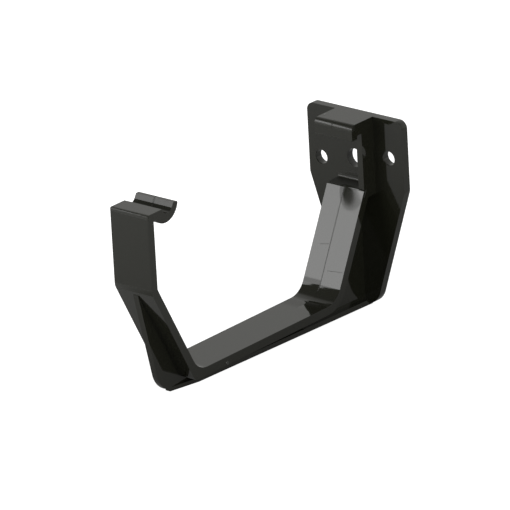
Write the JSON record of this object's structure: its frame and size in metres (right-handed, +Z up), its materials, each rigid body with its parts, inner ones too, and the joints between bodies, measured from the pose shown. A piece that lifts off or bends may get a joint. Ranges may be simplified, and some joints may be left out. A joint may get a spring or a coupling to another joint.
{
  "type": "gutter bracket",
  "caption": "One-piece plastic fascia bracket that cradles a square-line rainwater gutter between a snap-over front curl and a rear hook.",
  "frame": {"origin": "on the plate's back face, which lies against the fascia board, at mid strap, level with the gutter's flat bottom", "axes": "+X to the right along the fascia board, +Y towards the fascia board, +Z up"},
  "size_m": [0.0434, 0.1268, 0.0759],
  "materials": {
    "upvc": "gloss moulded, black"
  },
  "bodies": {
    "root": {"bracket": "upvc"}
  },
  "joints": []
}
